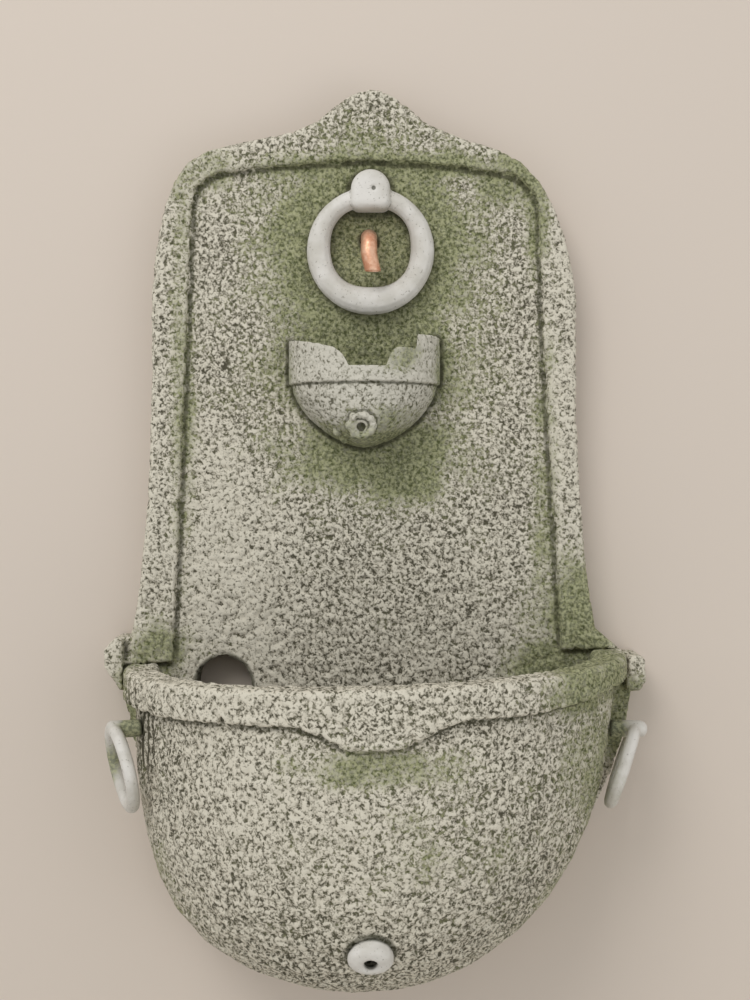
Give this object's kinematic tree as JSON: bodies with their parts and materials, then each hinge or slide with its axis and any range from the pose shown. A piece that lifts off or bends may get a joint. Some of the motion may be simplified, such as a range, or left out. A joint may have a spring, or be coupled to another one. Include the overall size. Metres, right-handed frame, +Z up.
{
  "type": "wall fountain",
  "caption": "Cast-stone wall fountain: arched slab with a sunk panel, copper spout in a ring, small cup under it and a deep half-round basin with side rings.",
  "frame": {"origin": "on the slab's back face, in the middle, at the height of the basin's rim", "axes": "+Z up, the back lies against the wall plane y = 0 and the front faces -Y, +X to the right seen from the front"},
  "size_m": [0.538, 0.2803, 0.8684],
  "materials": {
    "pitted_stone": "pitted grey-beige cast stone with moss",
    "smooth_stone": "smooth pale cast stone",
    "copper": "worn copper pipe"
  },
  "bodies": {
    "root": {"back_slab": "pitted_stone", "basin": "pitted_stone", "cup": "pitted_stone", "spout_ring": "smooth_stone", "spout": "copper", "left_ring": "smooth_stone", "right_ring": "smooth_stone", "drain_boss": "smooth_stone"}
  },
  "joints": []
}
